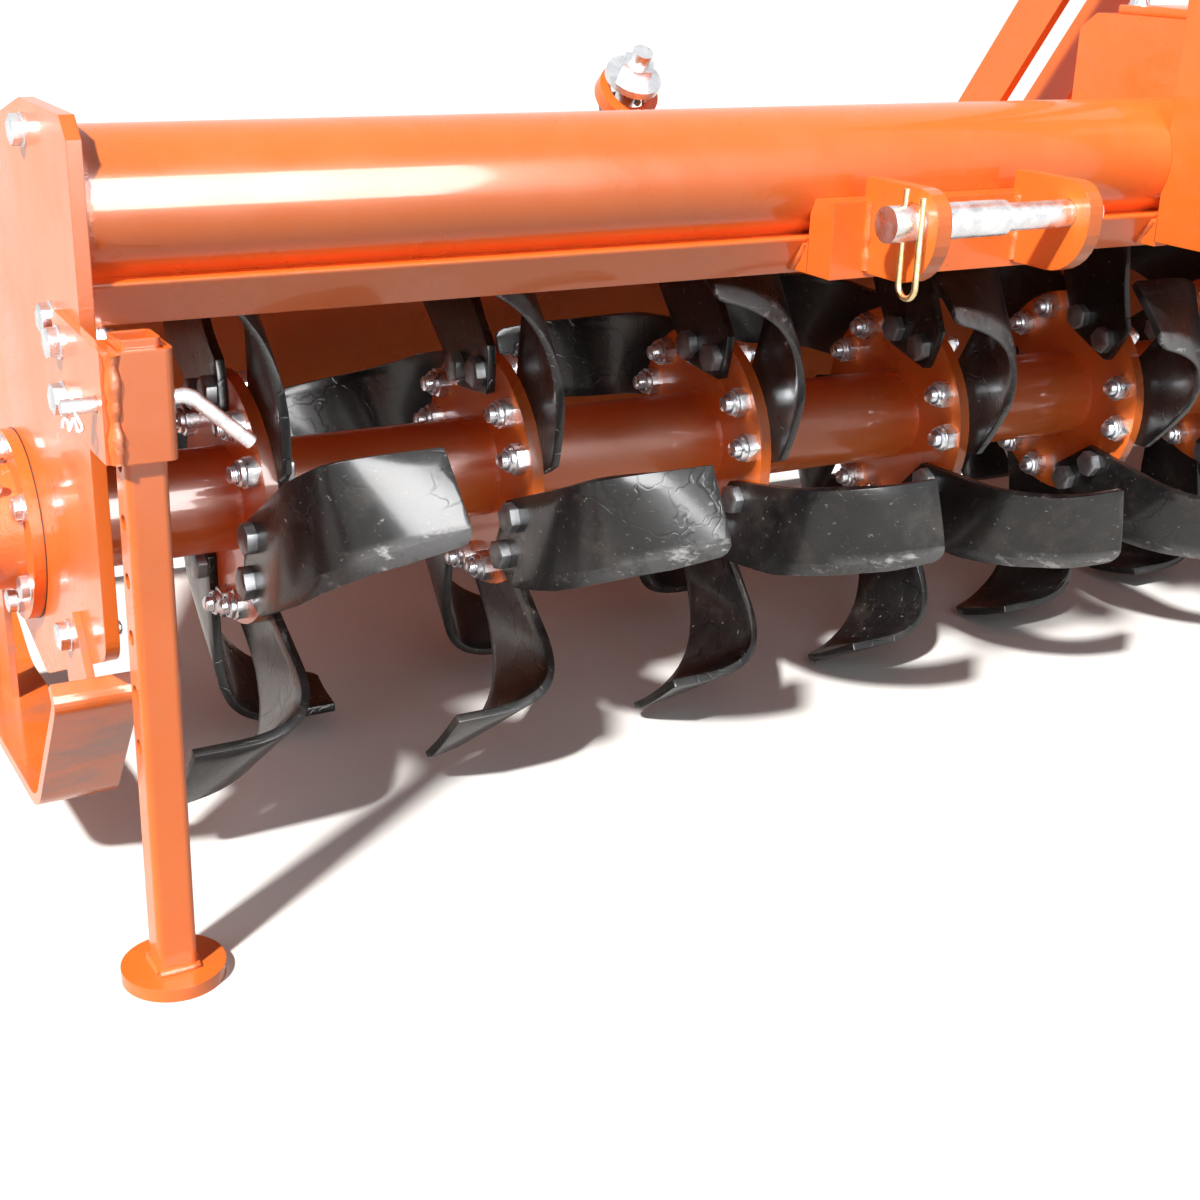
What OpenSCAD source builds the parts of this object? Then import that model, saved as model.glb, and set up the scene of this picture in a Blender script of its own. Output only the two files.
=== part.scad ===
// Rotavator: a three-point, shaft-driven rotary tiller, standing on its front legs and its tines.
// Millimetres. X runs along the rotor, -Y is the tractor side, Z is up. The origin is on the
// floor, under the middle of the whole machine.

/* [Rotor] */
// Number of blade flanges along the rotor
flanges = 9; // [7:1:11]
// Distance from one flange to the next
flange_pitch = 234; // [224:1:260]
// Outside diameter of the rotor tube
rotor_tube_d = 88.9; // [76:0.1:101.6]
// Diameter of a blade flange
flange_d = 216; // [204:1:224]
// Thickness of a blade flange
flange_t = 11; // [8:0.5:14]
// Turn from one flange to the next, in degrees
helix_step = 10; // [4:0.5:14]
// Turn of the first flange, in degrees
first_turn = -32; // [-60:1:60]
// From the outer flange's face to the end plate's outer face
end_gap = 166; // [150:1:190]

/* [Blades] */
// Thickness of a blade
blade_t = 8; // [6:0.5:10]
// From the rotor axis to the outside of a blade's tip
blade_reach = 229; // [215:1:235]
// Trailing edge of a blade, off the rotor axis
blade_back = 37; // [31:1:42]
// Width of a blade
blade_w = 76; // [66:1:80]
// Length of a blade's tip along the rotor
blade_tip = 120; // [100:1:125]
// How fast the bend opens from the trailing to the leading edge
blade_flare = 1.26; // [1.1:0.01:1.4]
// Bend radius at the trailing edge
bend_r = 73; // [66:1:80]

/* [Frame] */
// Thickness of the end plates
plate_t = 10; // [8:0.5:14]
// Thickness of the hood sheet
hood_t = 4; // [3:0.5:6]
// Space between the swing of the blades and the hood
hood_gap = 26; // [20:1:30]
// Height of the front beam
beam_h = 29; // [26:1:36]
// Depth of the front beam
beam_depth = 52; // [44:1:56]
// Diameter of the two main tubes
main_tube_d = 101.6; // [95:0.1:108]
// Wall of the main tubes
main_tube_wall = 6; // [4:0.5:8]

/* [Three-point hitch] */
// Between the centres of the two lower hitch points
hitch_span = 825; // [683:1:870]
// From the lower hitch points up to the top-link bore
mast_height = 610; // [560:1:650]
// Bore for the top-link pin
top_bore_d = 25.7; // [19.3:0.1:32]
// Free width between the mast bars at the bore
top_gap = 54; // [46:1:60]
// Large diameter of the lower hitch pins
pin_d = 28; // [26:0.1:30]
// Small diameter of the lower hitch pins
pin_small_d = 22; // [20:0.1:24]
// Free width between the ears of a lower hitch bracket
ear_gap = 139; // [110:1:150]
// Diameter of the splined drive shaft
pto_d = 34.8; // [34:0.1:36]

/* [Stands] */
// Side of the square stand legs
leg_side = 28; // [26:0.5:32]
// Side of the square sleeves
sleeve_side = 40; // [40:0.5:46]
// Height of the sleeves
sleeve_h = 72; // [66:1:90]
// Travel of the legs in their sleeves
leg_travel = 240; // [160:40:240]
// Diameter of the round feet
foot_d = 74; // [60:1:80]
// Diameter of the stand pins
stand_pin_d = 10; // [8:0.5:12]

/* [Rear board] */
// Length of the rear board from its hinge
board_len = 402; // [370:1:404]
// Thickness of the rear board
board_t = 4; // [3:0.5:6]
// Lean of the rear board below level, in degrees
board_lean = 57.2; // [56:0.1:58]
// Diameter of the pressure rods
rod_d = 20; // [16:1:22]

/* [Hidden] */
$fn = 64;

orange = [0.9, 0.33, 0.06];
dark = [0.06, 0.06, 0.065];
zinc = [0.72, 0.74, 0.77];

// Widths along the rotor
flange_half = (flanges - 1) / 2 * flange_pitch;
plate_out = flange_half + flange_t / 2 + end_gap;
plate_in = plate_out - plate_t;

// The bend of a blade is a piece of a cone that lies on the planes of the shank and of the tip
cone_s = blade_flare / sqrt(1 + 2 * blade_flare * blade_flare);
cone_c = sqrt(1 - cone_s * cone_s);
cone_u = sqrt(1 - 2 * cone_s * cone_s);
cone_b = blade_back - bend_r / blade_flare;
cone_axis = [cone_s, -cone_s, cone_u];
bend_a = [0, -cone_s, cone_u] / cone_c;
bend_b = [cone_s, 0, cone_u] / cone_c;
across_a = (bend_a - cone_c * cone_axis) / cone_s;
across_b = (bend_b - cone_c * cone_axis) / cone_s;
cone_turn = acos(across_a * across_b);
across_n = (across_b - cos(cone_turn) * across_a) / norm(across_b - cos(cone_turn) * across_a);
bend_steps = 14;
cone_out = [0, blade_reach, cone_b];
cone_in = cone_out + cone_axis * blade_t / cone_s;
blade_front = blade_back + blade_w;
front_r = blade_flare * (blade_front - cone_b);

// How far a blade's leading corner stays inside the plane of the tip
corner_k = cone_s * blade_tip + cone_u * (blade_front - cone_b);
corner_a = cone_c * cone_c - cone_s * cone_s;
corner_c = cone_c * cone_c * (pow(blade_tip, 2) + pow(blade_front - cone_b, 2)) - corner_k * corner_k;
corner_root = sqrt(max(0, pow(corner_k * cone_s, 2) - corner_a * corner_c));
corner_drop = front_r > blade_tip ? (corner_root - corner_k * cone_s) / corner_a : 0;
swing_r = sqrt(pow(blade_reach + corner_drop, 2) + blade_front * blade_front);

// Heights that follow from the swing of the blades
axis_h = swing_r;
hood_r = swing_r + hood_gap;
hood_out = hood_r + hood_t;
stub_d = 50;
stub_bore = stub_d + 0.16;

// Front beam, main tubes and what stands on them
front_y = -245;
beam_y = -232;
beam_z = swing_r - 49;
beam_top = beam_z + beam_h;
tube_r = main_tube_d / 2;
tube_y = -188;
tube_z = sqrt(pow(hood_out + 2 + tube_r, 2) - tube_y * tube_y);
plate_top = tube_z + tube_r + 10;
gear_half = 112;
gear_front = -262;
gear_back = -70;
gear_top = tube_z + 118;
pto_z = tube_z + 18;

// Hitch points
hitch_x = hitch_span / 2;
hitch_y = -320;
hitch_z = beam_z + 52;
ear_t = 14;
ear_r = 26;
ear_in = ear_gap / 2;
ear_out = ear_in + ear_t;
top_y = -277;
top_z = hitch_z + mast_height;
mast_t = 15;
mast_x = 147;
stay_t = 10;

// Stands
leg_y = front_y - 49;
leg_x = plate_out - sleeve_side / 2;
sleeve_z = beam_z - 69;
sleeve_top = sleeve_z + sleeve_h;
stand_pin_z = sleeve_z + sleeve_h / 2;
leg_step = leg_travel / 6;
bracket_t = 6;

// Rear board, its hinge and its rods
hood_end = 30;
hood_lip = 54;
hinge_off = 19;
hinge_y = (hood_out + hinge_off) * cos(hood_end) + (hood_lip - 2) * sin(hood_end);
hinge_z = (hood_out + hinge_off) * sin(hood_end) - (hood_lip - 2) * cos(hood_end);
board_half = plate_in - 20;
eye_along = 300;
eye_up = 40;
lug_r = 20;
eye_y = hinge_y + eye_along * cos(board_lean) + eye_up * sin(board_lean);
eye_z = hinge_z - eye_along * sin(board_lean) + eye_up * cos(board_lean);
guide_y = hinge_y - 112;
guide_z = hinge_z + 197;
rod_tilt = atan2(guide_z - eye_z, guide_y - eye_y);
rod_reach = sqrt(pow(guide_y - eye_y, 2) + pow(guide_z - eye_z, 2));
guide_tilt = rod_tilt + 14.5;
rod_side = plate_out * 0.42;

// Ends of the whole machine, which set the origin
pto_end = -405;
bearing_out = 62;
case_t = 78;
cover_t = 12;
board_end = hinge_y + board_len * cos(board_lean) + board_t / 2 * sin(board_lean);
x_off = (bearing_out - case_t - cover_t) / 2;
y_off = -(pto_end + max(eye_y + lug_r, board_end)) / 2;

// Puts a piece drawn about the rotor's axis into the machine's place
module place() {
    translate([x_off, y_off, axis_h])
        children();
}

// Draws a side view (Y across, Z up) from x0 to x1
module side_view(x0, x1) {
    translate([x0, 0, 0])
        rotate([90, 0, 90])
            linear_extrude(x1 - x0)
                children();
}

// A round bar along X
module bar_x(x0, x1, d) {
    translate([x0, 0, 0])
        rotate([0, 90, 0])
            cylinder(h = x1 - x0, d = d);
}

// A flat strip in a plane from p to q
module strip(p, q, w) {
    translate(p)
        rotate(atan2(q[1] - p[1], q[0] - p[0]))
            translate([0, -w / 2])
                square([norm(q - p), w]);
}

function unit(v) = v / norm(v);
function left_of(v) = [-v[1], v[0]];

// The points of an arc of radius r that rounds the corner q between p and s
function corner(p, q, s, r, k) =
    let (d0 = unit(q - p), d1 = unit(s - q), turn = acos(d0 * d1))
    let (side = sign(d0[0] * d1[1] - d0[1] * d1[0]), c = q - r * tan(turn / 2) * d0 + side * r * left_of(d0))
    let (start = atan2(-side * left_of(d0)[1], -side * left_of(d0)[0]))
    [for (i = [0:k]) c + r * [cos(start + side * turn * i / k), sin(start + side * turn * i / k)]];

// Offset of point i of a path, square to the path
function miter(p, i) =
    let (last = len(p) - 1)
    let (d0 = i > 0 ? unit(p[i] - p[i - 1]) : unit(p[1] - p[0]))
    let (d1 = i < last ? unit(p[i + 1] - p[i]) : d0, m = unit(left_of(d0) + left_of(d1)))
    m / (m * left_of(d0));

// A path drawn as a flat bar of thickness t seen from the side
module band(p, t) {
    last = len(p) - 1;
    polygon([for (i = [0:last]) p[i] + miter(p, i) * t / 2, for (i = [last:-1:0]) p[i] - miter(p, i) * t / 2]);
}

// A square with rounded corners, about its middle
module soft_square(s, r) {
    q = [[-1, -1], [1, -1], [1, 1], [-1, 1]] * s / 2;
    polygon([for (i = [0:3]) each corner(q[(i + 3) % 4], q[i], q[(i + 1) % 4], r, 4)]);
}

// The other side of the machine
module mirrored() {
    mirror([1, 0, 0])
        children();
}

module hood() {
    color(orange)
        place()
            side_view(-plate_in, plate_in) {
                intersection() {
                    difference() {
                        circle(r = hood_out, $fn = 180);
                        circle(r = hood_r, $fn = 180);
                    }
                    polygon([[0, 0], [600 * cos(hood_end), 600 * sin(hood_end)], [600, 600], [-600, 600],
                        [-600, beam_z + 2], [0, beam_z + 2]]);
                }
                rotate(hood_end)
                    translate([hood_r, -hood_lip])
                        square([hood_t, hood_lip]);
            }
}

module plate_outline() {
    low = [32, -95];
    chin = [-42, -114];
    toe = [front_y, -24];
    nose = [front_y, plate_top - 40];
    difference() {
        polygon(concat([[front_y + 6, plate_top - 14], [front_y + 20, plate_top],
            [tube_y + tube_r + 24, plate_top], [30, hood_out + 22], [150, hood_out - 16], [225, hood_out - 78],
            [hinge_y - 12, hinge_z + 54], [hinge_y + 12, hinge_z - 6], [hinge_y - 16, hinge_z - 40], [150, -40]],
            corner([150, -40], low, chin, 60, 5), corner(low, chin, toe, 26, 6), corner(chin, toe, nose, 20, 5)));
        circle(d = stub_d + 12);
    }
}

module end_plate_right() {
    color(orange)
        place()
            side_view(-plate_out, -plate_in)
                plate_outline();
}

module end_plate_left() {
    color(orange)
        place()
            side_view(plate_in, plate_out)
                plate_outline();
}

module front_beam() {
    color(orange)
        place()
            side_view(-plate_in, plate_in)
                difference() {
                    polygon(concat([[beam_y + beam_depth, beam_z], [beam_y, beam_z]],
                        corner([beam_y, beam_z], [beam_y, beam_top], [beam_y + beam_depth, beam_top], 8, 5),
                        [[beam_y + beam_depth, beam_top]]));
                    circle(r = hood_out + 0.3, $fn = 180);
                    translate([tube_y, tube_z])
                        circle(r = tube_r + 0.3);
                }
}

module main_tube() {
    color(orange)
        side_view(gear_half, plate_in)
            translate([tube_y, tube_z])
                difference() {
                    circle(r = tube_r);
                    circle(r = tube_r - main_tube_wall);
                }
}

module main_tube_right() {
    place()
        mirrored()
            main_tube();
}

module main_tube_left() {
    place()
        main_tube();
}

module gearbox() {
    color(orange)
        place()
            difference() {
                side_view(-gear_half, gear_half)
                    polygon([[gear_front, beam_top], [tube_y - 2, beam_top], [-150, beam_top + 14],
                        [gear_back, hood_out + 2], [gear_back, gear_top - 14], [gear_back - 20, gear_top],
                        [gear_front + 20, gear_top], [gear_front, gear_top - 20]]);
                translate([0, gear_front - 1, pto_z])
                    rotate([-90, 0, 0])
                        cylinder(h = 31, d = pto_d + 0.16);
            }
}

module gearbox_cover() {
    color(orange)
        place()
            translate([-80, gear_back, hood_out + 6])
                cube([160, 14, gear_top - hood_out - 24]);
}

module pto_guard() {
    color(dark)
        place()
            translate([0, gear_front, pto_z])
                rotate([90, 0, 0])
                    difference() {
                        cylinder(h = 92, d = 152);
                        translate([0, 0, 6])
                            cylinder(h = 87, d = 144);
                        translate([0, 0, -1])
                            cylinder(h = 8, d = pto_d + 14);
                    }
}

module mast() {
    color(orange)
        difference() {
            translate([0, beam_y, 0])
                rotate([90, 0, 0])
                    linear_extrude(90)
                        polygon([[mast_x - mast_t, beam_z + 4], [mast_x, beam_z + 4], [mast_x, tube_z + 140],
                            [top_gap / 2 + mast_t, top_z - 130], [top_gap / 2 + mast_t, top_z + 38],
                            [top_gap / 2, top_z + 38], [top_gap / 2, top_z - 133], [mast_x - mast_t, tube_z + 137]]);
            translate([0, top_y, top_z])
                bar_x(0, mast_x, top_bore_d);
            translate([0, tube_y, tube_z])
                bar_x(0, mast_x + 1, main_tube_d + 0.6);
        }
}

module mast_right() {
    place()
        mirrored()
            mast();
}

module mast_left() {
    place()
        mast();
}

module mast_stay() {
    color(orange)
        side_view(top_gap / 2 + mast_t, top_gap / 2 + mast_t + stay_t)
            difference() {
                union() {
                    strip([-262, top_z - 26], [150, hood_out - 16], 50);
                    translate([118, hood_out - 80])
                        square([64, 80]);
                }
                circle(r = hood_out + 0.3, $fn = 180);
            }
}

module mast_stay_right() {
    place()
        mirrored()
            mast_stay();
}

module mast_stay_left() {
    place()
        mast_stay();
}

module hitch_bracket() {
    foot = [beam_y - 24, beam_z + 4];
    lower = [hitch_y - ear_r, beam_z + 4];
    upper = [hitch_y - ear_r, hitch_z + ear_r];
    head = [beam_y - 24, hitch_z + ear_r];
    color(orange)
        difference() {
            union() {
                translate([-ear_out - 34, beam_y - 31, beam_z])
                    cube([ear_out * 2 + 68, 31, 60]);
                for (x = [-ear_out, ear_in])
                    side_view(x, x + ear_t)
                        polygon(concat([foot], corner(foot, lower, upper, 42, 8), corner(lower, upper, head, 24, 6),
                            [head]));
            }
            translate([0, tube_y, tube_z])
                bar_x(-ear_out - 35, ear_out + 35, main_tube_d + 0.6);
            translate([0, hitch_y, hitch_z]) {
                bar_x(-ear_out - 1, -ear_in + 1, pin_d + 0.6);
                bar_x(ear_in - 1, ear_out + 1, pin_small_d + 0.6);
            }
        }
}

module hitch_bracket_right() {
    place()
        translate([-hitch_x, 0, 0])
            hitch_bracket();
}

module hitch_bracket_left() {
    place()
        translate([hitch_x, 0, 0])
            mirrored()
                hitch_bracket();
}

module hitch_pin() {
    color(zinc)
        translate([0, hitch_y, hitch_z])
            difference() {
                union() {
                    bar_x(-ear_out - 28, 2, pin_d);
                    bar_x(2, ear_out + 16, pin_small_d);
                }
                translate([-ear_out - 11, 0, -pin_d])
                    cylinder(h = pin_d * 2, d = 6.5);
            }
}

module hitch_pin_right() {
    place()
        translate([-hitch_x, 0, 0])
            hitch_pin();
}

module hitch_pin_left() {
    place()
        translate([hitch_x, 0, 0])
            mirrored()
                hitch_pin();
}

module hitch_clip() {
    color(zinc)
        translate([-ear_out - 11, hitch_y, hitch_z]) {
            translate([0, 0, -45])
                cylinder(h = 71, d = 5);
            translate([0, -10, -45])
                rotate([0, 90, 0])
                    rotate(-90)
                        rotate_extrude(angle = 180)
                            translate([10, 0])
                                circle(d = 5);
            translate([0, -20, -45])
                cylinder(h = 67, d = 5);
        }
}

module hitch_clip_right() {
    place()
        translate([-hitch_x, 0, 0])
            hitch_clip();
}

module hitch_clip_left() {
    place()
        translate([hitch_x, 0, 0])
            mirrored()
                hitch_clip();
}

module bearing_housing() {
    color(orange)
        place()
            difference() {
                union() {
                    bar_x(-plate_out - 10, -plate_out, 152);
                    translate([-plate_out - 40, 0, 0])
                        rotate([0, 90, 0])
                            cylinder(h = 31, r1 = 47, r2 = 53);
                }
                bar_x(-plate_out - 30, -plate_out + 1, stub_bore);
            }
}

module bearing_cap() {
    color(orange)
        place() {
            bar_x(-plate_out - 50, -plate_out - 40, 106);
            bar_x(-plate_out - bearing_out, -plate_out - 49, 74);
        }
}

// The outline of the side case, from the main tube down to the rotor
module case_outline(r_top, r_low) {
    case_run = atan2(-tube_z, -tube_y);
    translate([tube_y, tube_z])
        circle(r = r_top);
    circle(r = r_low);
    polygon([for (k = [1, -1]) [tube_y - k * r_top * sin(case_run), tube_z + k * r_top * cos(case_run)],
        for (k = [-1, 1]) [-k * (r_low - 2) * sin(case_run), k * (r_low - 2) * cos(case_run)]]);
}

module side_case() {
    color(orange)
        place()
            difference() {
                side_view(plate_out, plate_out + case_t)
                    case_outline(62, 88);
                bar_x(plate_out - 1, plate_out + 26, stub_bore);
            }
}

module side_case_cover() {
    color(orange)
        place()
            side_view(plate_out + case_t, plate_out + case_t + cover_t)
                case_outline(52, 76);
}

module skid() {
    lip = [-204, -54];
    toe = [-214, -66];
    front = [-120, -188];
    rear = [170, -196];
    heel = [232, -160];
    color(orange) {
        side_view(plate_out - 28, plate_out + 32)
            band(concat([lip], corner(lip, toe, front, 8, 6), corner(toe, front, rear, 45, 8),
                corner(front, rear, heel, 60, 6), [heel]), 9);
        side_view(plate_out, plate_out + 6) {
            polygon([[-176, -12], [-206, -50], [-211, -66], [-160, -131], [-138, -42]]);
            strip([112, -26], [112, -195], 44);
        }
    }
}

module skid_right() {
    place()
        mirrored()
            skid();
}

module skid_left() {
    place()
        skid();
}

module stand_bracket(rear) {
    color(orange)
        difference() {
            union() {
                side_view(plate_out, plate_out + bracket_t)
                    polygon([[leg_y - sleeve_side / 2 + 5, sleeve_z], [leg_y - sleeve_side / 2 + 5, sleeve_top],
                        [rear - 8, sleeve_top + 4], [rear, sleeve_top - 4], [rear, sleeve_z + 28],
                        [rear - 22, sleeve_z]]);
                translate([leg_x, leg_y, sleeve_z])
                    linear_extrude(sleeve_h)
                        soft_square(sleeve_side, 6);
            }
            translate([leg_x - leg_side / 2 - 1, leg_y - leg_side / 2 - 1, sleeve_z - 1])
                cube([leg_side + 2, leg_side + 2, sleeve_h + 2]);
            translate([0, leg_y, stand_pin_z])
                bar_x(plate_out - sleeve_side - 1, plate_out + bracket_t + 1, stand_pin_d + 1);
        }
}

module stand_bracket_right() {
    place()
        mirrored()
            stand_bracket(-188);
}

module stand_bracket_left() {
    place()
        stand_bracket(-226);
}

module stand_pin() {
    pin_bend = 14;
    pin_turn = 42;
    color(zinc)
        translate([plate_out - sleeve_side - 8, leg_y, stand_pin_z]) {
            bar_x(-1, sleeve_side + bracket_t + 30, stand_pin_d);
            translate([0, 0, -pin_bend]) {
                rotate([90, 0, 0])
                    rotate(90)
                        rotate_extrude(angle = pin_turn)
                            translate([pin_bend, 0])
                                circle(d = stand_pin_d + 0.6);
                rotate([0, -pin_turn, 0])
                    translate([-48, 0, pin_bend])
                        bar_x(0, 49, stand_pin_d);
            }
        }
}

module stand_pin_right() {
    place()
        mirrored()
            stand_pin();
}

module stand_pin_left() {
    place()
        stand_pin();
}

module stand_leg() {
    color(orange)
        difference() {
            union() {
                translate([leg_x, leg_y, -axis_h + 5])
                    linear_extrude(sleeve_top + 6 + axis_h - 5)
                        soft_square(leg_side, 4.5);
                translate([leg_x, leg_y, -axis_h])
                    cylinder(h = 10, d = foot_d);
            }
            translate([leg_x - leg_side / 2 + 3, leg_y - leg_side / 2 + 3, -axis_h + 10])
                cube([leg_side - 6, leg_side - 6, sleeve_top + axis_h]);
            for (k = [0:6])
                translate([0, leg_y, stand_pin_z - k * leg_step])
                    bar_x(plate_out - sleeve_side, plate_out, stand_pin_d + 1);
        }
}

module stand_leg_right() {
    place()
        mirrored()
            stand_leg();
}

module stand_leg_left() {
    place()
        stand_leg();
}

module rod_bracket() {
    color(orange)
        difference() {
            union() {
                translate([rod_side, guide_y, guide_z])
                    rotate([guide_tilt - 90, 0, 0])
                        cylinder(h = 14, r = 31, center = true);
                side_view(rod_side - 9, rod_side + 9)
                    difference() {
                        strip([guide_y - 24 * sin(guide_tilt), guide_z + 24 * cos(guide_tilt)],
                            [guide_y - 100 * sin(guide_tilt), guide_z + 100 * cos(guide_tilt)], 14);
                        circle(r = hood_out + 0.3, $fn = 180);
                    }
            }
            translate([rod_side, guide_y, guide_z])
                rotate([guide_tilt - 90, 0, 0])
                    cylinder(h = 16, r = 20, center = true);
        }
}

module rod_bracket_right() {
    place()
        mirrored()
            rod_bracket();
}

module rod_bracket_left() {
    place()
        rod_bracket();
}

// Where the board's knuckles sit along the hinge
knuckles = [for (k = [-2:2]) k * plate_in * 0.4];

module board_hinge() {
    color(orange)
        place() {
            translate([0, hinge_y, hinge_z])
                bar_x(-plate_in, plate_in, 16);
            for (x = knuckles)
                for (k = [-1, 1])
                    side_view(x + k * 52 - 6, x + k * 52 + 6)
                        rotate(hood_end) {
                            translate([hood_out, 2 - hood_lip])
                                square([hinge_off, 26]);
                            translate([hood_out + hinge_off, 2 - hood_lip])
                                circle(r = 12);
                        }
        }
}

module rotor() {
    color(orange)
        place() {
            bar_x(-plate_in + 14, plate_in - 14, rotor_tube_d);
            bar_x(-plate_out - 20, plate_out + 20, stub_d);
            for (i = [0:flanges - 1])
                translate([i * flange_pitch - flange_half, 0, 0])
                    bar_x(-flange_t / 2, flange_t / 2, flange_d);
        }
}

// A straight line of the blade's conical bend
function bend_line(k) =
    let (turn = cone_turn * k / bend_steps)
    cone_c * cone_axis + cone_s * (cos(turn) * across_a + sin(turn) * across_n);

// Where that line crosses the blade's width at z
function bend_point(k, tip, z) = tip + bend_line(k) * (z - tip[2]) / bend_line(k)[2];

// The blade's bent section across its width at z
function bent(z) = concat(
    [[0, 5, z]],
    [for (k = [0:bend_steps]) bend_point(k, cone_out, z)],
    [[blade_tip + 90, blade_reach, z], [blade_tip + 90, blade_reach - blade_t, z]],
    [for (k = [bend_steps:-1:0]) bend_point(k, cone_in, z)],
    [[blade_t, 5, z]]);

// One blade: X from the outside of its shank, Y out from the rotor, Z along its width
module blade() {
    low = bent(blade_back - 12);
    high = bent(blade_front + 24);
    n = len(low);
    sides = [for (i = [0:n - 1]) [i, (i + 1) % n, n + (i + 1) % n, n + i]];
    intersection() {
        polyhedron(concat(low, high), concat([[for (i = [0:n - 1]) n + i], [for (i = [n - 1:-1:0]) i]], sides));
        translate([-1, 0, 0])
            rotate([90, 0, 90])
                linear_extrude(blade_tip + 90)
                    polygon([[63, blade_back], [280, blade_back], [280, blade_front + 20], [118, blade_front + 8],
                        [76, blade_front + 3], [46, blade_front], [38, blade_front - 9], [21, blade_back + 43],
                        [23, blade_back + 38]]);
        translate([0, 300, 0])
            rotate([90, 0, 0])
                linear_extrude(300)
                    polygon([[-2, blade_back - 1], [blade_tip - 9, blade_back - 1], [blade_tip, blade_front],
                        [blade_tip - 50, blade_front + 6], [6, blade_front + 8], [-2, blade_front + 8]]);
    }
}

module blade_set(turn) {
    for (i = [0:flanges - 1])
        for (k = [0:2])
            translate([i * flange_pitch - flange_half, 0, 0])
                rotate([180 + first_turn + helix_step * i + turn + 120 * k, 0, 0])
                    children();
}

module blades_right() {
    color(dark)
        place()
            blade_set(0)
                translate([-flange_t / 2 - blade_t, 0, 0])
                    blade();
}

module blades_left() {
    color(dark)
        place()
            blade_set(60)
                translate([flange_t / 2 + blade_t, 0, 0])
                    mirrored()
                        blade();
}

module pto_shaft() {
    color(zinc)
        place()
            translate([0, pto_end, pto_z])
                rotate([-90, 0, 0])
                    difference() {
                        cylinder(h = gear_front + 20 - pto_end, d = pto_d);
                        for (k = [0:5])
                            rotate(k * 60)
                                translate([pto_d / 2 - 2.4, -4.4, -1])
                                    cube([6, 8.8, 80]);
                    }
}

module rear_board() {
    color(orange)
        place()
            translate([0, hinge_y, hinge_z])
                rotate([-board_lean, 0, 0])
                    difference() {
                        union() {
                            for (x = knuckles)
                                bar_x(x - 40, x + 40, 26);
                            for (x = knuckles)
                                translate([x - 40, 9, -board_t / 2])
                                    cube([80, 10, board_t]);
                            translate([-board_half, 18, -board_t / 2])
                                cube([board_half * 2, board_len - 18, board_t]);
                            for (x = [-rod_side, rod_side])
                                for (k = [-1, 1])
                                    side_view(x + k * 20 - 4, x + k * 20 + 4) {
                                        translate([eye_along, eye_up])
                                            circle(r = lug_r);
                                        translate([eye_along - 30, 0])
                                            square([60, eye_up - 10]);
                                        translate([eye_along - lug_r, 0])
                                            square([2 * lug_r, eye_up]);
                                    }
                            for (x = [-rod_side, rod_side])
                                translate([0, eye_along, eye_up])
                                    bar_x(x - 28, x + 28, 14);
                        }
                        for (x = knuckles)
                            bar_x(x - 41, x + 41, 17);
                    }
}

module pressure_rod() {
    color(zinc)
        translate([rod_side, eye_y, eye_z])
            difference() {
                union() {
                    bar_x(-11, 11, 32);
                    rotate([rod_tilt - 90, 0, 0]) {
                        cylinder(h = rod_reach + 52, d = rod_d);
                        translate([0, 0, rod_reach * 0.46])
                            cylinder(h = 10, d = 46);
                        translate([0, 0, rod_reach + 17])
                            cylinder(h = 7, d = 56);
                        translate([0, 0, rod_reach + 23])
                            cylinder(h = 16, d = 34, $fn = 6);
                    }
                }
                bar_x(-12, 12, 15);
            }
}

module pressure_rod_right() {
    place()
        mirrored()
            pressure_rod();
}

module pressure_rod_left() {
    place()
        pressure_rod();
}

hood();
end_plate_right();
end_plate_left();
front_beam();
main_tube_right();
main_tube_left();
gearbox();
gearbox_cover();
pto_guard();
mast_right();
mast_left();
mast_stay_right();
mast_stay_left();
hitch_bracket_right();
hitch_bracket_left();
hitch_pin_right();
hitch_pin_left();
hitch_clip_right();
hitch_clip_left();
bearing_housing();
bearing_cap();
side_case();
side_case_cover();
skid_right();
skid_left();
stand_bracket_right();
stand_bracket_left();
stand_pin_right();
stand_pin_left();
stand_leg_right();
stand_leg_left();
rod_bracket_right();
rod_bracket_left();
board_hinge();
rotor();
blades_right();
blades_left();
pto_shaft();
rear_board();
pressure_rod_right();
pressure_rod_left();
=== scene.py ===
"""Dresses a three-point rotary tiller: worn blades, fixings, welds, springs, clips and paint."""
import math

import bmesh
import bpy
from bpy.props import FloatProperty, FloatVectorProperty, PointerProperty
from mathutils import Matrix, Vector, noise


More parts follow.
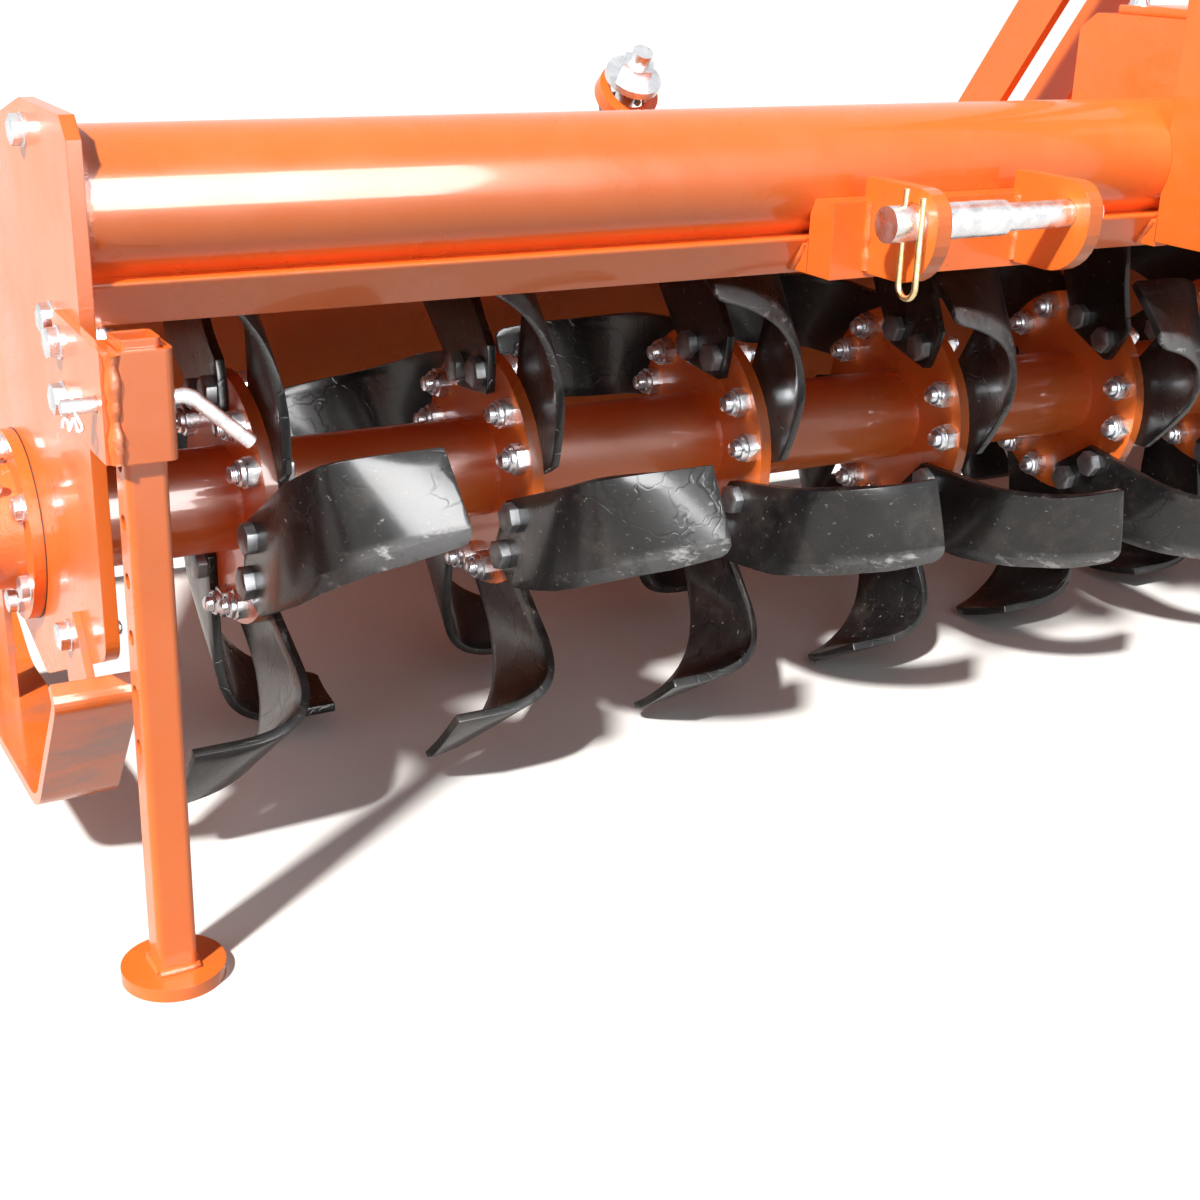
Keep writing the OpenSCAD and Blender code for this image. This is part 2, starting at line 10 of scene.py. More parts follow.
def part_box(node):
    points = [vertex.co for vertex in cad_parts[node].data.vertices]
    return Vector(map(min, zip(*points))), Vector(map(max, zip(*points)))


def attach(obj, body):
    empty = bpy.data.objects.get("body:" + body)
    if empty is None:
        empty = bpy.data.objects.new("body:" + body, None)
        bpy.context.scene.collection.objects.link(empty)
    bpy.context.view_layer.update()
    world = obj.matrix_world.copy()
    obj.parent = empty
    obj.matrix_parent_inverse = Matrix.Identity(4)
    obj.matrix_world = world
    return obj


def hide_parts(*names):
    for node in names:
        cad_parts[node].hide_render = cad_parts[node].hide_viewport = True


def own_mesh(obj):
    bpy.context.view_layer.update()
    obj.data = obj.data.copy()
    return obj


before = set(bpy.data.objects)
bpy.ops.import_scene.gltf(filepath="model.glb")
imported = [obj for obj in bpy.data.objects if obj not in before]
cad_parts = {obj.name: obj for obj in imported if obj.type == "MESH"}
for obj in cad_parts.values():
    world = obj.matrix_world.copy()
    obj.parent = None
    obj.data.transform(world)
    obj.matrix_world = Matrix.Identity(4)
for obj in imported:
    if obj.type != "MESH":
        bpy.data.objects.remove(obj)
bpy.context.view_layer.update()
# The offsets inside noise_vector follow this seed
noise.seed_set(7)

bl_info = {
    "name": "Rotary tiller",
    "version": (1, 0, 0),
    "blender": (4, 5, 0),
    "location": "3D View > Sidebar > Rotary tiller",
    "description": "Worn blades, fixings, welds, springs and finishes for a three-point rotary tiller",
    "category": "Object",
}

MM = 0.001
TURN = 2 * math.pi
FLAT_X = Matrix.Rotation(math.radians(90), 4, "Y")

ROTOR_LOW, ROTOR_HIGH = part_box("rotor")
AXIS = (ROTOR_LOW + ROTOR_HIGH) / 2


def settings():
    """The sizes and colours that the panel shows."""
    return bpy.context.scene.tiller


def at(x, y, z):
    """A place in millimetres from the middle of the rotor's axis."""
    return AXIS + Vector((x, y, z)) * MM


def direction(vector):
    """A turn that takes +Z to the given direction."""
    return Vector(vector).to_track_quat("Z", "Y").to_matrix().to_4x4()


def facing(place, way, twist=0.0):
    """A matrix that puts +Z of a small part on a place, facing a way."""
    return Matrix.Translation(place) @ direction(way) @ Matrix.Rotation(math.radians(twist), 4, "Z")


# Shapes


def keep(bm):
    """Turns a bmesh into a mesh that is stamped many times."""
    bmesh.ops.recalc_face_normals(bm, faces=bm.faces)
    mesh = bpy.data.meshes.new("pattern")
    bm.to_mesh(mesh)
    bm.free()
    return mesh


def stamp(bm, pattern, place):
    """Adds a pattern mesh at a place and returns its vertices."""
    first = len(bm.verts)
    bm.from_mesh(pattern)
    bm.verts.ensure_lookup_table()
    fresh = bm.verts[first:]
    bmesh.ops.transform(bm, matrix=place, verts=fresh)
    return fresh


def lathe(profile, steps=24, finish=0):
    """A turned part about Z from (radius, height) points in millimetres."""
    bm = bmesh.new()
    line = [bm.verts.new((radius * MM, 0, height * MM)) for radius, height in profile]
    edges = [bm.edges.new(pair) for pair in zip(line, line[1:])]
    bmesh.ops.spin(bm, geom=line + edges, axis=(0, 0, 1), cent=(0, 0, 0), angle=TURN, steps=steps,
                   use_merge=True)
    bmesh.ops.remove_doubles(bm, verts=bm.verts, dist=1e-6)
    for face in bm.faces:
        face.material_index = finish
    return keep(bm)


def soften(bm, edges, width, segments):
    """Rounds edges over a width in the mesh's own unit."""
    bmesh.ops.bevel(bm, geom=edges, offset=width, offset_type="OFFSET", affect="EDGES",
                    segments=segments, profile=0.5, material=-1)


def hexagon(across, height, chamfer):
    """A chamfered hexagon that stands on the XY plane."""
    bm = bmesh.new()
    radius = across / math.sqrt(3) * MM
    bmesh.ops.create_cone(bm, cap_ends=True, segments=6, radius1=radius, radius2=radius,
                          depth=height * MM, matrix=Matrix.Translation((0, 0, height * MM / 2)))
    top = [face for face in bm.faces if face.normal.z > 0.9]
    bmesh.ops.inset_individual(bm, faces=top, thickness=chamfer * 2 * MM, depth=0)
    rim = [vert for vert in bm.verts if vert.co.z > (height - 0.01) * MM and vert not in top[0].verts]
    bmesh.ops.translate(bm, verts=rim, vec=(0, 0, -chamfer * MM))
    half = height * 0.5 * MM
    side = [edge for edge in bm.edges if abs(edge.verts[0].co.z - edge.verts[1].co.z) > half]
    soften(bm, side, 0.5 * MM, 1)
    return keep(bm)


def joined(*patterns):
    """Several patterns as one, each with its own height in millimetres."""
    bm = bmesh.new()
    for pattern, height in patterns:
        stamp(bm, pattern, Matrix.Translation((0, 0, height * MM)))
        bpy.data.meshes.remove(pattern)
    mesh = bpy.data.meshes.new("pattern")
    bm.to_mesh(mesh)
    bm.free()
    return mesh


def bolt_head(across, washer=True):
    """A hexagon head on its washer."""
    height = across * 0.42
    base = 2.0 if washer else 0.0
    parts = [(hexagon(across, height, across * 0.07), base)]
    if washer:
        rim = across * 0.62
        parts.append((lathe([(0, 0), (rim, 0), (rim, 1.6), (rim - 0.5, 2), (0, 2)], 20), 0))
    return joined(*parts)


def lock_nut(across, shank):
    """A lock nut with its nylon ring and the end of its bolt. The ring is finish 1."""
    tall = across * 0.5
    collar = across * 0.46
    ring = shank / 2 + 1.6
    body = lathe([(ring, tall + 4.5), (collar - 1.5, tall + 4.5), (collar, tall + 3),
                  (collar, tall - 0.5)], 18)
    nylon = lathe([(shank / 2 - 0.6, tall + 3.6), (ring + 0.2, tall + 4.2)], 18, 1)
    thread = [(shank / 2, tall)]
    for k in range(4):
        low = tall + 3 + k * 1.9
        thread += [(shank / 2, low), (shank / 2 - 0.9, low + 0.9)]
    thread += [(shank / 2 - 0.2, tall + 10.2), (shank / 2 - 2.2, tall + 11.6), (0, tall + 11.6)]
    base = hexagon(across, tall, across * 0.06)
    return joined((base, 0), (body, 0), (nylon, 0), (lathe(thread, 14), 0))


def sweep(path, radius, sides=8, rough=0.0, seed=0.0):
    """A round bar along a path in metres, with its ends closed and its surface as rough as asked."""
    bm = bmesh.new()
    count = len(path)
    ahead = (path[1] - path[0]).normalized()
    turn = ahead.to_track_quat("Z", "Y")
    for index, point in enumerate(path):
        before = path[max(index - 1, 0)]
        after = path[min(index + 1, count - 1)]
        tangent = (after - before).normalized()
        turn = turn.to_matrix().col[2].rotation_difference(tangent) @ turn
        swell = 1 + rough * noise.noise(Vector((seed, index * 0.61, 0.5)))
        place = Matrix.Translation(point) @ turn.to_matrix().to_4x4() @ Matrix.Scale(radius * swell, 4)
        if index == 0:
            bmesh.ops.create_circle(bm, cap_ends=True, segments=sides, radius=1, matrix=place)
            edges = bm.edges[:]
        else:
            grown = bmesh.ops.extrude_edge_only(bm, edges=edges)["geom"]
            fresh = [part for part in grown if isinstance(part, bmesh.types.BMVert)]
            edges = [part for part in grown if isinstance(part, bmesh.types.BMEdge) and part.is_boundary]
            bmesh.ops.transform(bm, matrix=place @ last.inverted(), verts=fresh)
        last = place
    bmesh.ops.contextual_create(bm, geom=edges)
    if rough:
        for vert in bm.verts:
            vert.co += noise.noise_vector(vert.co * 160 + Vector((seed, 0, 0))) * radius * rough * 0.35
    return keep(bm)


def line_of(start, end, step):
    """Points from start to end about a step apart."""
    count = max(2, int((end - start).length / step))
    return [start.lerp(end, k / count) for k in range(count + 1)]


def rounded(points, count):
    """A smooth line through points."""
    path = []
    for k in range(len(points) - 1):
        before = points[max(k - 1, 0)]
        start, end = points[k], points[k + 1]
        after = points[min(k + 2, len(points) - 1)]
        for step in range(count):
            t = step / count
            path.append(0.5 * (2 * start + (end - before) * t
                               + (2 * before - 5 * start + 4 * end - after) * t * t
                               + (3 * start - before - 3 * end + after) * t ** 3))
    return path + [points[-1]]


def ring_weld(radius, size, seed):
    """A bead round the X axis, rippled as a hand weld is."""
    bm = bmesh.new()
    steps = int(radius * 1.5)
    circle = bmesh.ops.create_circle(bm, segments=7, radius=size * MM,
                                     matrix=Matrix.Translation((0, radius * MM, 0)) @ FLAT_X @
                                     Matrix.Rotation(math.radians(90), 4, "X"))
    geom = circle["verts"] + list({edge for vert in circle["verts"] for edge in vert.link_edges})
    bmesh.ops.spin(bm, geom=geom, axis=(1, 0, 0), cent=(0, 0, 0), angle=TURN, steps=steps,
                   use_merge=True)
    bmesh.ops.remove_doubles(bm, verts=bm.verts, dist=1e-6)
    for vert in bm.verts:
        angle = math.atan2(vert.co.z, vert.co.y)
        ripple = 0.22 * math.sin(angle * radius * 1.1 + seed) * size * MM
        vert.co.x += ripple + noise.noise(vert.co * 90 + Vector((seed, 0, 0))) * size * 0.3 * MM
    return keep(bm)


def piece(name, bm, body, slot, *finishes, smooth=38):
    """Makes an object of a bmesh, on a body, with its finishes."""
    mesh = bpy.data.meshes.new(name)
    bm.to_mesh(mesh)
    bm.free()
    for finish in finishes:
        mesh.materials.append(bpy.data.materials[finish])
    mesh.shade_smooth()
    mesh.set_sharp_from_angle(angle=math.radians(smooth))
    thing = bpy.data.objects.new(name, mesh)
    bpy.context.scene.collection.objects.link(thing)
    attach(thing, body)
    return thing


def scattered(name, places, body, slot, *finishes, smooth=38):
    """One object of many patterns: places is a list of (pattern, matrix)."""
    bm = bmesh.new()
    for pattern, place in places:
        stamp(bm, pattern, place)
    return piece(name, bm, body, slot, *finishes, smooth=smooth)


# Finishes


class Finish:
    """A material and short ways to add nodes to it."""

    def __init__(self, name):
        self.material = bpy.data.materials.new(name)
        self.material.use_nodes = True
        self.tree = self.material.node_tree
        self.shader = self.tree.nodes["Principled BSDF"]
        self.place = self.add("ShaderNodeTexCoord").outputs["Object"]

    def fill(self, socket, value):
        """Links another node's socket to this one, or gives it a value."""
        if isinstance(value, bpy.types.NodeSocket):
            self.tree.links.new(value, socket)
        else:
            socket.default_value = value

    def add(self, kind, sockets=(), **options):
        node = self.tree.nodes.new(kind)
        for key, value in options.items():
            setattr(node, key, value)
        for key, value in dict(sockets).items():
            self.fill(node.inputs[key], value)
        return node

    def noise(self, scale, detail=3.0, rough=0.55, stretch=None):
        place = self.place
        if stretch:
            place = self.add("ShaderNodeMapping", {"Vector": place, "Scale": stretch}).outputs["Vector"]
        return self.add("ShaderNodeTexNoise", {"Vector": place, "Scale": scale, "Detail": detail,
                                               "Roughness": rough}).outputs["Fac"]

    def math(self, operation, first, second):
        return self.add("ShaderNodeMath", {0: first, 1: second}, operation=operation).outputs[0]

    def fade(self, value, low, high, bottom=0.0, top=1.0):
        return self.add("ShaderNodeMapRange", {"Value": value, "From Min": low, "From Max": high,
                                               "To Min": bottom, "To Max": top}).outputs["Result"]

    def mix(self, factor, first, second):
        node = self.add("ShaderNodeMix", {0: factor, 6: first, 7: second}, data_type="RGBA")
        return node.outputs[2]

    def attribute(self, name):
        return self.add("ShaderNodeAttribute", attribute_name=name).outputs["Fac"]

    def bump(self, height, distance, below=None, strength=1.0):
        sockets = {"Height": height, "Distance": distance, "Strength": strength}
        if below:
            sockets["Normal"] = below
        return self.add("ShaderNodeBump", sockets).outputs["Normal"]

    def soft_edges(self, radius):
        """The normal of an edge that is rounded a little, and how much it turns there."""
        rounded = self.add("ShaderNodeBevel", {"Radius": radius}, samples=2).outputs["Normal"]
        plain = self.add("ShaderNodeNewGeometry").outputs["Normal"]
        turn = self.add("ShaderNodeVectorMath", {0: rounded, 1: plain}, operation="DOT_PRODUCT")
        return rounded, self.math("SUBTRACT", 1.0, turn.outputs["Value"])

    def set(self, **values):
        for key, value in values.items():
            self.fill(self.shader.inputs[key.replace("_", " ")], value)


def rgba(colour):
    return (colour[0], colour[1], colour[2], 1.0)


def shade(colour, factor):
    return (colour[0] * factor, colour[1] * factor, colour[2] * factor, 1.0)


def painted(name, colour, cast=False, smeared=False):
    """Sprayed gloss paint: orange peel, faint runs of tone, dust, scratches and chipped edges."""
    look = Finish(name)
    tone = look.fade(look.noise(3.2, 4), 0.3, 0.7)
    base = look.mix(tone, shade(colour, 0.9), shade(colour, 1.06))
    film = look.fade(look.noise(38, 5, 0.65), 0.48, 0.78, 0.0, 0.08)
    base = look.mix(film, base, (0.74, 0.42, 0.25, 1))
    rounded, turn = look.soft_edges(1.4 * MM)
    spots = look.noise(46, 6, 0.68)
    edge = look.math("MULTIPLY", look.fade(turn, 0.02, 0.16), look.fade(spots, 0.6, 0.68))
    flecks = look.fade(look.noise(110, 2), 0.77, 0.8)
    chips = look.math("MAXIMUM", look.math("MULTIPLY", edge, 0.85), look.math("MULTIPLY", flecks, 0.5))
    base = look.mix(chips, base, (0.17, 0.105, 0.075, 1))
    if smeared:
        mud = look.fade(look.noise(11, 6, 0.68, stretch=(1, 1, 2.2)), 0.46, 0.66, 0.0, 0.7)
        base = look.mix(mud, base, (0.36, 0.17, 0.12, 1))
    streaks = look.fade(look.noise(7, 4, 0.6, stretch=(22, 3, 26)), 0.7, 0.8, 0.0, 0.22)
    rough = look.fade(look.noise(13, 5), 0.3, 0.75, 0.24, 0.42)
    rough = look.math("ADD", rough, look.math("MULTIPLY", look.math("MAXIMUM", chips, streaks), 0.3))
    peel = look.noise(420, 2)
    normal = look.bump(peel, 0.06 * MM, rounded)
    if cast:
        grain = look.noise(210, 5, 0.7)
        lumps = look.noise(52, 3)
        normal = look.bump(grain, 0.9 * MM, rounded, 0.75)
        normal = look.bump(lumps, 1.6 * MM, normal, 0.6)
    look.set(Base_Color=base, Roughness=rough, Normal=normal, Specular_IOR_Level=0.35,
             Coat_Weight=0.5, Coat_Roughness=0.07)
    return look.material


def welded(name, colour):
    """Paint over a rough bead, with bare spatter."""
    look = Finish(name)
    crust = look.noise(330, 5, 0.7)
    base = look.mix(look.fade(crust, 0.35, 0.7), shade(colour, 0.85), shade(colour, 1.12))
    base = look.mix(look.fade(look.noise(95, 4), 0.66, 0.74, 0.0, 0.4), base, (0.2, 0.1, 0.06, 1))
    normal = look.bump(crust, 0.8 * MM)
    look.set(Base_Color=base, Roughness=0.34, Normal=normal, Coat_Weight=0.2, Coat_Roughness=0.12)
    return look.material


def blackened(name, colour, steel):
    """Black dipped blade steel: scuffs, hair cracks in the film, dust, and a nicked ground edge."""
    look = Finish(name)
    mark = look.attribute("ground")
    number = look.attribute("blade_number")
    moved = look.add("ShaderNodeVectorMath", {0: look.place, 1: number}, operation="ADD")
    look.place = moved.outputs["Vector"]
    haze = look.fade(look.noise(21, 5, 0.62), 0.46, 0.8)
    base = look.mix(look.math("MULTIPLY", haze, 0.55), rgba(colour), (0.03, 0.029, 0.028, 1))
    cell = look.add("ShaderNodeMapping", {"Vector": look.place, "Scale": (26, 26, 26)}).outputs["Vector"]
    warp = look.add("ShaderNodeTexNoise", {"Vector": cell, "Scale": 1.4, "Detail": 2.0}).outputs["Color"]
    bent = look.add("ShaderNodeVectorMath", {0: cell, 1: warp}, operation="ADD").outputs["Vector"]
    split = look.add("ShaderNodeTexVoronoi", {"Vector": bent, "Scale": 1.0},
                     feature="DISTANCE_TO_EDGE").outputs["Distance"]
    area = look.fade(look.noise(6, 3), 0.44, 0.58)
    crack = look.math("MULTIPLY", look.fade(split, 0.01, 0.032, 1.0, 0.0), area)
    base = look.mix(look.math("MULTIPLY", crack, 0.75), base, (0.002, 0.002, 0.002, 1))
    dust = look.fade(look.noise(15, 6, 0.72), 0.52, 0.74, 0.0, 0.5)
    base = look.mix(dust, base, (0.085, 0.072, 0.06, 1))
    scrape = look.fade(look.noise(9, 6, 0.7, stretch=(3, 30, 30)), 0.63, 0.73, 0.0, 0.6)
    specks = look.fade(look.noise(150, 3), 0.68, 0.74, 0.0, 0.8)
    rubbed = look.math("MAXIMUM", scrape, specks)
    base = look.mix(rubbed, base, (0.24, 0.23, 0.215, 1))
    broken = look.math("MULTIPLY", mark, look.fade(look.noise(34, 5, 0.7), 0.36, 0.5, 0.25, 1.0))
    base = look.mix(look.math("MULTIPLY", broken, 0.9), base, rgba(steel))
    nicks = look.fade(look.noise(70, 5, 0.7, stretch=(0.35, 1, 1)), 0.56, 0.66)
    base = look.mix(look.math("MULTIPLY", mark, nicks), base, (0.42, 0.42, 0.42, 1))
    rough = look.fade(look.noise(30, 4), 0.3, 0.7, 0.27, 0.42)
    rough = look.math("ADD", rough, look.math("MULTIPLY", look.math("MAXIMUM", rubbed, mark), 0.2))
    normal = look.bump(look.noise(85, 5, 0.65), 0.26 * MM, None, 0.7)
    normal = look.bump(crack, -0.3 * MM, normal)
    strokes = look.noise(60, 4, 0.6, stretch=(4, 60, 60))
    normal = look.bump(look.math("MULTIPLY", strokes, mark), 0.5 * MM, normal)
    look.set(Base_Color=base, Roughness=rough, Normal=normal, Specular_IOR_Level=0.3,
             Coat_Weight=0.35, Coat_Roughness=0.16,
             Metallic=look.math("MULTIPLY", broken, 0.3))
    return look.material


def plated(name, colour, rough_low=0.2, rough_high=0.42):
    """Plated steel: cloudy, with stains and fine marks."""
    look = Finish(name)
    cloud = look.fade(look.noise(60, 5, 0.6), 0.3, 0.72)
    base = look.mix(cloud, shade(colour, 0.72), shade(colour, 1.08))
    stain = look.fade(look.noise(150, 4, 0.65), 0.62, 0.74, 0.0, 0.5)
    base = look.mix(stain, base, (0.12, 0.1, 0.085, 1))
    rough = look.fade(look.noise(95, 4), 0.3, 0.7, rough_low, rough_high)
    normal = look.bump(look.noise(300, 3), 0.1 * MM)
    look.set(Base_Color=base, Roughness=rough, Normal=normal, Metallic=1.0)
    return look.material


def moulded(name, colour):
    """Moulded plastic with a fine grain and dull scuffs."""
    look = Finish(name)
    grain = look.noise(700, 2)
    dust = look.fade(look.noise(14, 5, 0.65), 0.5, 0.8, 0.0, 0.35)
    base = look.mix(dust, rgba(colour), (0.09, 0.085, 0.08, 1))
    rough = look.fade(look.noise(40, 4), 0.3, 0.7, 0.42, 0.6)
    look.set(Base_Color=base, Roughness=rough, Normal=look.bump(grain, 0.12 * MM))
    return look.material


class TillerSettings(bpy.types.PropertyGroup):
    paint: FloatVectorProperty(name="Paint", description="Colour of the sprayed paint",
                               subtype="COLOR", size=3, default=(0.9, 0.185, 0.026))
    blade: FloatVectorProperty(name="Blade", description="Colour of the dipped blades",
                               subtype="COLOR", size=3, default=(0.007, 0.007, 0.008))
    steel: FloatVectorProperty(name="Ground edge",
                               description="Colour of the blades' ground edges",
                               subtype="COLOR", size=3, default=(0.1, 0.1, 0.104))
    zinc: FloatVectorProperty(name="Zinc", description="Colour of the bright plating",
                              subtype="COLOR", size=3, default=(0.78, 0.8, 0.83))
    yellow: FloatVectorProperty(name="Yellow zinc", description="Colour of the yellow plating",
                                subtype="COLOR", size=3, default=(0.74, 0.58, 0.3))
    bolt_across: FloatProperty(name="Blade bolt",
                               description="Across the flats of a blade bolt",
                               unit="LENGTH", default=0.024)
    plate_bolt: FloatProperty(name="Plate bolt",
                              description="Across the flats of a plate bolt",
                              unit="LENGTH", default=0.019)
    ground_width: FloatProperty(name="Ground edge width",
                                description="Width of the ground edge",
                                unit="LENGTH", default=0.013)
    weld_size: FloatProperty(name="Weld", description="Size of the weld beads", unit="LENGTH",
                             default=0.0045)
    spring_wire: FloatProperty(name="Spring wire", description="Wire of the pressure springs",
                               unit="LENGTH", default=0.007)
    lens: FloatProperty(name="Lens", description="Focal length on a 36 mm sensor",
                        unit="CAMERA", default=52.78)


# Nodes of the frame that are not sprayed orange, by their finish
NODE_FINISHES = {
    "cast_orange": ("gearbox", "gearbox_cover", "bearing_housing", "bearing_cap", "side_case",
                    "side_case_cover"),
    "smeared_orange": ("skid_right", "skid_left"),
    "bright_zinc": ("hitch_pin_right", "hitch_pin_left", "stand_pin_right", "stand_pin_left",
                    "pto_shaft", "pressure_rod_right", "pressure_rod_left"),
    "yellow_plating": ("hitch_clip_right", "hitch_clip_left"),
    "blade_black": ("blades_right", "blades_left"),
    "guard_black": ("pto_guard",),
}


class TILLER_OT_finishes(bpy.types.Operator):
    """Makes the finishes and gives each node of the frame its own"""
    bl_idname = "tiller.finishes"
    bl_label = "Finishes"

    def execute(self, context):
        look = settings()
        painted("sprayed_orange", look.paint)
        painted("cast_orange", look.paint, cast=True)
        painted("smeared_orange", look.paint, smeared=True)
        welded("weld_orange", look.paint)
        blackened("blade_black", look.blade, look.steel)
        plated("bright_zinc", look.zinc)
        plated("dull_steel", shade(look.zinc, 0.34)[:3], 0.34, 0.55)
        plated("yellow_plating", look.yellow)
        moulded("guard_black", (0.012, 0.012, 0.013))
        moulded("nylon_ring", (0.16, 0.28, 0.42))
        special = {name: finish for finish, names in NODE_FINISHES.items() for name in names}
        for name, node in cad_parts.items():
            finish = special.get(name, "sprayed_orange")
            node.data.materials.clear()
            node.data.materials.append(bpy.data.materials[finish])
        return {"FINISHED"}


# Rotor: sizes in millimetres, turns in degrees

FLANGES = 9
PITCH = 234.0
FLANGE_T = 11.0
TUBE_R = 44.45
HELIX = 10.0
FIRST_TURN = -32.0
BLADE_T = 8.0
REACH = 229.0
BACK = 37.0
FRONT = 113.0
TIP = 120.0
FLARE = 1.26
BEND_R = 73.0
SHANK_ROOT = 14.0
TIP_SPARE = 24.0
GRIND_DEPTH = 5.2
BOLT_PLACES = ((73.0, 53.0), (42.5, 82.6))
# Lines that trim a blade: its shank in Y and Z, the ground edge and the tip in X and Z
SHANK_CUTS = (((63, BACK), (23, BACK + 38)), ((23, BACK + 38), (21, BACK + 43)),
              ((21, BACK + 43), (38, FRONT - 9)), ((38, FRONT - 9), (46, FRONT)),
              ((46, FRONT), (118, FRONT + 8)))
EDGE_CUTS = (((6, FRONT + 8), (70, FRONT + 6)), ((70, FRONT + 6), (TIP, FRONT)))
END_CUT = ((TIP - 9, BACK), (TIP, FRONT))
CORNER_CUTS = (((TIP - 0.8, FRONT - 7), (TIP - 3.5, FRONT - 2)),
               ((TIP - 3.5, FRONT - 2), (TIP - 9, FRONT + 1)))
SHANK_INSIDE, TIP_INSIDE = (110, 70), (40, 70)


def flange_x(index):
    """The middle of a flange along the rotor."""
    return (index - (FLANGES - 1) / 2) * PITCH


def blade_turns(face):
    """Each blade of one face of the flanges: its flange and its turn."""
    for index in range(FLANGES):
        for k in range(3):
            yield index, 180 + FIRST_TURN + HELIX * index + 120 * k + (60 if face > 0 else 0)


def blade_place(index, turn, face):
    """Where a blade's own axes go: X from the outside of its shank, Y out from the rotor."""
    side = Matrix.Diagonal((-face, 1, 1, 1))
    off = Matrix.Translation((face * (FLANGE_T / 2 + BLADE_T) * MM, 0, 0))
    return (Matrix.Translation(at(flange_x(index), 0, 0)) @ Matrix.Rotation(math.radians(turn), 4, "X")
            @ off @ side)


class BentBlade:
    """The middle of a blade's outer face: a flat shank, a conical bend and a flat tip."""

    def __init__(self):
        root = math.sqrt(1 + 2 * FLARE * FLARE)
        self.apex = Vector((0, REACH, BACK - BEND_R / FLARE))
        sine = FLARE / root
        cosine = math.sqrt(1 - sine * sine)
        axis = Vector((sine, -sine, 1 / root))
        first = Vector((0, -sine, 1 / root)) / cosine
        last = Vector((sine, 0, 1 / root)) / cosine
        self.middle = axis * cosine
        self.start = first - self.middle
        end = last - self.middle
        self.angle = self.start.angle(end)
        self.across = (end - self.start * math.cos(self.angle)) / math.sin(self.angle)

    def point(self, along, width):
        """A place on the face: along runs 0-1 on the shank, 1-2 round the bend and 2-3 on the tip."""
        reach = width - self.apex.z
        if along <= 1:
            outer = REACH - FLARE * reach
            return Vector((0, SHANK_ROOT + (outer - SHANK_ROOT) * along, width))
        if along >= 2:
            low = FLARE * reach
            high = max(low, TIP) + TIP_SPARE
            return Vector((low + (high - low) * (along - 2), REACH, width))
        turn = self.angle * (along - 1)
        line = self.middle + self.start * math.cos(turn) + self.across * math.sin(turn)
        return self.apex + line * (reach / line.z)


def cut(bm, first, second, axes, inside, clear=True):
    """Cuts along a line drawn in two of the axes, and clears what lies outside."""
    across, up = axes
    run = Vector((0, 0, 0))
    run[across], run[up] = second[0] - first[0], second[1] - first[1]
    normal = Vector((0, 0, 0))
    normal[across], normal[up] = run[up], -run[across]
    start = Vector((0, 0, 0))
    start[across], start[up] = first
    towards = Vector((0, 0, 0))
    towards[across], towards[up] = inside
    if (towards - start).dot(normal) > 0:
        normal = -normal
    bmesh.ops.bisect_plane(bm, geom=bm.verts[:] + bm.edges[:] + bm.faces[:], plane_co=start,
                           plane_no=normal, clear_outer=clear, dist=1e-4)


def blade_pattern():
    """One blade in millimetres: bent, cut to shape, thickened, ground and softened at its edges."""
    bent = BentBlade()
    ground = settings().ground_width / MM
    widths = [BACK, BACK + 14, BACK + 30, BACK + 46, FRONT - 16, FRONT - 6, FRONT + 10]
    alongs = [0, 0.35, 0.7, 1] + [1 + k / 20 for k in range(1, 21)] + [2.2, 2.5, 2.8, 3]
    bm = bmesh.new()
    bmesh.ops.create_grid(bm, x_segments=len(alongs) - 1, y_segments=len(widths) - 1, size=1)
    for vert in bm.verts:
        column = round((vert.co.x + 1) / 2 * (len(alongs) - 1))
        row = round((vert.co.y + 1) / 2 * (len(widths) - 1))
        vert.co = bent.point(alongs[column], widths[row])
    for first, second in SHANK_CUTS:
        cut(bm, first, second, (1, 2), SHANK_INSIDE)
    for first, second in (END_CUT,) + EDGE_CUTS + CORNER_CUTS:
        cut(bm, first, second, (0, 2), TIP_INSIDE)
    for (x, z), (end_x, end_z) in EDGE_CUTS:
        cut(bm, (x, z - ground), (end_x, end_z - ground), (0, 2), TIP_INSIDE, False)
    bmesh.ops.remove_doubles(bm, verts=bm.verts, dist=1e-3)
    bmesh.ops.recalc_face_normals(bm, faces=bm.faces)
    shank = min(bm.faces, key=lambda face: face.calc_center_median().y)
    if shank.normal.x > 0:
        bmesh.ops.reverse_faces(bm, faces=bm.faces)
    bm.normal_update()
    lean = {}
    for vert in bm.verts:
        lean[tuple(round(c, 3) for c in vert.co)] = vert.normal.copy()
    bmesh.ops.solidify(bm, geom=bm.faces[:], thickness=BLADE_T)
    layer = bm.verts.layers.float.new("ground")
    for vert in bm.verts:
        outward = lean.get(tuple(round(c, 3) for c in vert.co))
        edge = min(z + (end_z - z) * (vert.co.x - x) / (end_x - x)
                   for (x, z), (end_x, end_z) in EDGE_CUTS)
        share = 1 - (edge - vert.co.z) / ground
        if outward is not None and share > -0.02 and vert.co.x > 4:
            run = min(1, (vert.co.x - 4) / 40)
            vert[layer] = run
            vert.co -= outward * GRIND_DEPTH * run * max(0, min(1, share))
    bmesh.ops.recalc_face_normals(bm, faces=bm.faces)
    bm.normal_update()
    sharp = [edge for edge in bm.edges if edge.is_manifold and edge.calc_face_angle() > math.radians(40)]
    soften(bm, sharp, 0.9, 2)
    bmesh.ops.scale(bm, vec=(MM, MM, MM), verts=bm.verts)
    return keep(bm)


